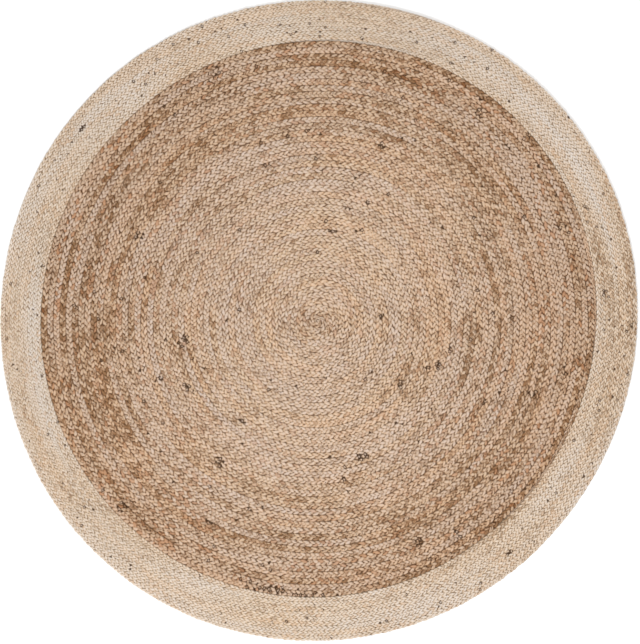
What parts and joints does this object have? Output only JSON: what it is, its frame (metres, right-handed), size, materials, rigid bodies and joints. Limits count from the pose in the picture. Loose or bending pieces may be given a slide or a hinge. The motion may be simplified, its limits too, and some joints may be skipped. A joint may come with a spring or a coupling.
{
  "type": "round jute rug",
  "caption": "Flat round rug of narrow natural jute braids wound into a coil, with a border of still narrower bleached jute braid sewn round it.",
  "frame": {"origin": "centre of the outline's box, on the flat underside that lies on the floor", "axes": "+Z up through the rug's thickness, out of its face; +X to the right and +Y up in the reference picture"},
  "size_m": [1.196, 1.203, 0.0094],
  "materials": {
    "natural_jute": "braided natural jute, tan with brown, grey and rust streaks, matt and slightly fibrous",
    "bleached_jute": "braided bleached jute, ivory to pale tan, matt and slightly fibrous"
  },
  "bodies": {
    "root": {"field_braid_coil": "natural_jute", "border_braid_coil": "bleached_jute"}
  },
  "joints": []
}
